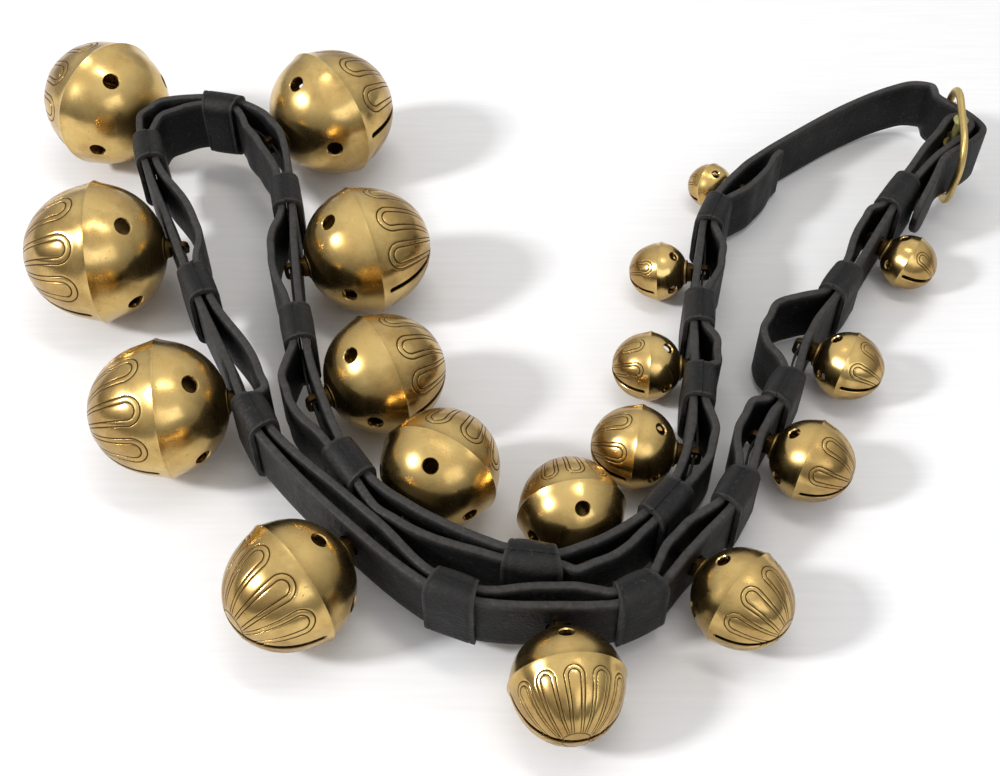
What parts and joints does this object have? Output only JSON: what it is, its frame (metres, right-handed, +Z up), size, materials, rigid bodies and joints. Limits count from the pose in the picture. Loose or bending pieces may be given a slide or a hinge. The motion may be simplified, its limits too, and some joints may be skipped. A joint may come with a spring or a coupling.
{
  "type": "sleigh bell strap",
  "caption": "Leather harness strap buckled into a loop, with graduated engraved brass crotal bells laced along its outer face and leather keepers between them.",
  "frame": {"origin": "middle of the bounding box, at the floor that the strap lies on", "axes": "+Z up from the floor; +X along the longer side of the laid-out strap, towards the buckle; +Y away from the viewer"},
  "size_m": [0.5458, 0.4328, 0.0753],
  "materials": {
    "strap_leather": "black harness leather, satin, worn grey on the edges",
    "lace": "black leather lace",
    "bell_brass": "polished cast brass with brown tarnish in the engraving",
    "buckle_brass": "pale cast brass with a little green patina",
    "pea_iron": "rough cast iron"
  },
  "bodies": {
    "strap": {"outer_strap": "strap_leather", "liner_strap": "strap_leather", "shank_lace": "lace", "keeper_01": "strap_leather", "keeper_02": "strap_leather", "keeper_03": "strap_leather", "keeper_04": "strap_leather", "keeper_05": "strap_leather", "keeper_06": "strap_leather", "keeper_07": "strap_leather", "keeper_08": "strap_leather", "keeper_09": "strap_leather", "keeper_10": "strap_leather", "keeper_11": "strap_leather", "keeper_12": "strap_leather", "keeper_13": "strap_leather", "keeper_14": "strap_leather", "keeper_15": "strap_leather", "keeper_16": "strap_leather", "keeper_17": "strap_leather", "keeper_18": "strap_leather"},
    "bell_01": {"bell_01": "bell_brass"},
    "bell_02": {"bell_02": "bell_brass"},
    "bell_03": {"bell_03": "bell_brass"},
    "bell_04": {"bell_04": "bell_brass"},
    "bell_05": {"bell_05": "bell_brass"},
    "bell_06": {"bell_06": "bell_brass"},
    "bell_07": {"bell_07": "bell_brass"},
    "bell_08": {"bell_08": "bell_brass"},
    "bell_09": {"bell_09": "bell_brass"},
    "bell_10": {"bell_10": "bell_brass"},
    "bell_11": {"bell_11": "bell_brass"},
    "bell_12": {"bell_12": "bell_brass"},
    "bell_13": {"bell_13": "bell_brass"},
    "bell_14": {"bell_14": "bell_brass"},
    "bell_15": {"bell_15": "bell_brass"},
    "bell_16": {"bell_16": "bell_brass"},
    "bell_17": {"bell_17": "bell_brass"},
    "bell_18": {"bell_18": "bell_brass"},
    "pea_01": {"pea_01": "pea_iron"},
    "pea_02": {"pea_02": "pea_iron"},
    "pea_03": {"pea_03": "pea_iron"},
    "pea_04": {"pea_04": "pea_iron"},
    "pea_05": {"pea_05": "pea_iron"},
    "pea_06": {"pea_06": "pea_iron"},
    "pea_07": {"pea_07": "pea_iron"},
    "pea_08": {"pea_08": "pea_iron"},
    "pea_09": {"pea_09": "pea_iron"},
    "pea_10": {"pea_10": "pea_iron"},
    "pea_11": {"pea_11": "pea_iron"},
    "pea_12": {"pea_12": "pea_iron"},
    "pea_13": {"pea_13": "pea_iron"},
    "pea_14": {"pea_14": "pea_iron"},
    "pea_15": {"pea_15": "pea_iron"},
    "pea_16": {"pea_16": "pea_iron"},
    "pea_17": {"pea_17": "pea_iron"},
    "pea_18": {"pea_18": "pea_iron"},
    "buckle": {"buckle_frame": "buckle_brass"},
    "tongue": {"buckle_tongue": "buckle_brass"}
  },
  "joints": [
    {"name": "bell_01_swivel", "type": "hinge", "parent": "strap", "child": "bell_01", "pos_m": [0.22188, 0.06879, 0.01563], "axis": [0.8251, -0.531, -0.1931], "range_deg": [-12, 32]},
    {"name": "bell_02_swivel", "type": "hinge", "parent": "strap", "child": "bell_02", "pos_m": [0.17473, -0.00943, 0.01838], "axis": [0.8806, -0.4722, -0.04], "range_deg": [-17, 27]},
    {"name": "bell_03_swivel", "type": "hinge", "parent": "strap", "child": "bell_03", "pos_m": [0.14603, -0.07192, 0.02089], "axis": [0.8772, -0.4801, 0.0003], "range_deg": [-27, 17]},
    {"name": "bell_04_swivel", "type": "hinge", "parent": "strap", "child": "bell_04", "pos_m": [0.10303, -0.14964, 0.02363], "axis": [0.7358, -0.6772, 0.0005], "range_deg": [-24, 20]},
    {"name": "bell_05_swivel", "type": "hinge", "parent": "strap", "child": "bell_05", "pos_m": [0.02441, -0.19246, 0.02564], "axis": [0.1108, -0.9938, -0.0012], "range_deg": [-20, 24]},
    {"name": "bell_06_swivel", "type": "hinge", "parent": "strap", "child": "bell_06", "pos_m": [-0.09639, -0.14713, 0.03038], "axis": [-0.7577, -0.6526, 0.0006], "range_deg": [-14, 30]},
    {"name": "bell_07_swivel", "type": "hinge", "parent": "strap", "child": "bell_07", "pos_m": [-0.1687, -0.0505, 0.03438], "axis": [-0.9879, -0.1548, 0.0035], "range_deg": [-3, 41]},
    {"name": "bell_08_swivel", "type": "hinge", "parent": "strap", "child": "bell_08", "pos_m": [-0.21921, 0.05404, 0.03789], "axis": [-0.9964, -0.0848, 0.0012], "range_deg": [0, 44]},
    {"name": "bell_09_swivel", "type": "hinge", "parent": "strap", "child": "bell_09", "pos_m": [-0.23859, 0.18296, 0.03739], "axis": [-0.8054, 0.5927, -0.0005], "range_deg": [-8, 36]},
    {"name": "bell_10_swivel", "type": "hinge", "parent": "strap", "child": "bell_10", "pos_m": [-0.10261, 0.17383, 0.03764], "axis": [0.7344, 0.6787, 0.0008], "range_deg": [-19, 25]},
    {"name": "bell_11_swivel", "type": "hinge", "parent": "strap", "child": "bell_11", "pos_m": [-0.07448, 0.05974, 0.03488], "axis": [0.9238, 0.3828, -0.0001], "range_deg": [-24, 20]},
    {"name": "bell_12_swivel", "type": "hinge", "parent": "strap", "child": "bell_12", "pos_m": [-0.0606, -0.0246, 0.03139], "axis": [0.8699, 0.4932, -0.0013], "range_deg": [-26, 18]},
    {"name": "bell_13_swivel", "type": "hinge", "parent": "strap", "child": "bell_13", "pos_m": [-0.03136, -0.08117, 0.02964], "axis": [0.4229, 0.9062, -0.0001], "range_deg": [-31, 13]},
    {"name": "bell_14_swivel", "type": "hinge", "parent": "strap", "child": "bell_14", "pos_m": [0.02869, -0.10212, 0.02564], "axis": [-0.1402, 0.9901, -0.0029], "range_deg": [-28, 16]},
    {"name": "bell_15_swivel", "type": "hinge", "parent": "strap", "child": "bell_15", "pos_m": [0.06024, -0.06323, 0.02139], "axis": [-0.981, 0.194, -0.0015], "range_deg": [-22, 22]},
    {"name": "bell_16_swivel", "type": "hinge", "parent": "strap", "child": "bell_16", "pos_m": [0.07093, -0.00911, 0.01838], "axis": [-0.9944, 0.0964, -0.0438], "range_deg": [-22, 22]},
    {"name": "bell_17_swivel", "type": "hinge", "parent": "strap", "child": "bell_17", "pos_m": [0.08247, 0.06157, 0.01639], "axis": [-0.973, 0.1853, -0.1375], "range_deg": [-16, 28]},
    {"name": "bell_18_swivel", "type": "hinge", "parent": "strap", "child": "bell_18", "pos_m": [0.11883, 0.13536, 0.01338], "axis": [-0.7363, 0.5962, -0.32], "range_deg": [-12, 32]},
    {"name": "pea_01_roll", "type": "hinge", "parent": "bell_01", "child": "pea_01", "pos_m": [0.22188, 0.06879, 0.01563], "axis": [0.8251, -0.531, -0.1931], "continuous": true},
    {"name": "pea_02_roll", "type": "hinge", "parent": "bell_02", "child": "pea_02", "pos_m": [0.17473, -0.00943, 0.01838], "axis": [0.8806, -0.4722, -0.04], "continuous": true},
    {"name": "pea_03_roll", "type": "hinge", "parent": "bell_03", "child": "pea_03", "pos_m": [0.14603, -0.07192, 0.02089], "axis": [0.8772, -0.4801, 0.0003], "continuous": true},
    {"name": "pea_04_roll", "type": "hinge", "parent": "bell_04", "child": "pea_04", "pos_m": [0.10303, -0.14964, 0.02363], "axis": [0.7358, -0.6772, 0.0005], "continuous": true},
    {"name": "pea_05_roll", "type": "hinge", "parent": "bell_05", "child": "pea_05", "pos_m": [0.02441, -0.19246, 0.02564], "axis": [0.1108, -0.9938, -0.0012], "continuous": true},
    {"name": "pea_06_roll", "type": "hinge", "parent": "bell_06", "child": "pea_06", "pos_m": [-0.09639, -0.14713, 0.03038], "axis": [-0.7577, -0.6526, 0.0006], "continuous": true},
    {"name": "pea_07_roll", "type": "hinge", "parent": "bell_07", "child": "pea_07", "pos_m": [-0.1687, -0.0505, 0.03438], "axis": [-0.9879, -0.1548, 0.0035], "continuous": true},
    {"name": "pea_08_roll", "type": "hinge", "parent": "bell_08", "child": "pea_08", "pos_m": [-0.21921, 0.05404, 0.03789], "axis": [-0.9964, -0.0848, 0.0012], "continuous": true},
    {"name": "pea_09_roll", "type": "hinge", "parent": "bell_09", "child": "pea_09", "pos_m": [-0.23859, 0.18296, 0.03739], "axis": [-0.8054, 0.5927, -0.0005], "continuous": true},
    {"name": "pea_10_roll", "type": "hinge", "parent": "bell_10", "child": "pea_10", "pos_m": [-0.10261, 0.17383, 0.03764], "axis": [0.7344, 0.6787, 0.0008], "continuous": true},
    {"name": "pea_11_roll", "type": "hinge", "parent": "bell_11", "child": "pea_11", "pos_m": [-0.07448, 0.05974, 0.03488], "axis": [0.9238, 0.3828, -0.0001], "continuous": true},
    {"name": "pea_12_roll", "type": "hinge", "parent": "bell_12", "child": "pea_12", "pos_m": [-0.0606, -0.0246, 0.03139], "axis": [0.8699, 0.4932, -0.0013], "continuous": true},
    {"name": "pea_13_roll", "type": "hinge", "parent": "bell_13", "child": "pea_13", "pos_m": [-0.03136, -0.08117, 0.02964], "axis": [0.4229, 0.9062, -0.0001], "continuous": true},
    {"name": "pea_14_roll", "type": "hinge", "parent": "bell_14", "child": "pea_14", "pos_m": [0.02869, -0.10212, 0.02564], "axis": [-0.1402, 0.9901, -0.0029], "continuous": true},
    {"name": "pea_15_roll", "type": "hinge", "parent": "bell_15", "child": "pea_15", "pos_m": [0.06024, -0.06323, 0.02139], "axis": [-0.981, 0.194, -0.0015], "continuous": true},
    {"name": "pea_16_roll", "type": "hinge", "parent": "bell_16", "child": "pea_16", "pos_m": [0.07093, -0.00911, 0.01838], "axis": [-0.9944, 0.0964, -0.0438], "continuous": true},
    {"name": "pea_17_roll", "type": "hinge", "parent": "bell_17", "child": "pea_17", "pos_m": [0.08247, 0.06157, 0.01639], "axis": [-0.973, 0.1853, -0.1375], "continuous": true},
    {"name": "pea_18_roll", "type": "hinge", "parent": "bell_18", "child": "pea_18", "pos_m": [0.11883, 0.13536, 0.01338], "axis": [-0.7363, 0.5962, -0.32], "continuous": true},
    {"name": "buckle_rock", "type": "hinge", "parent": "strap", "child": "buckle", "pos_m": [0.25706, 0.14665, 0.03413], "axis": [-0.0182, -0.1727, 0.9848], "range_deg": [0, 4]},
    {"name": "tongue_lift", "type": "hinge", "parent": "buckle", "child": "tongue", "pos_m": [0.25706, 0.14665, 0.03413], "axis": [0.0182, 0.1727, -0.9848], "range_deg": [0, 6]}
  ]
}
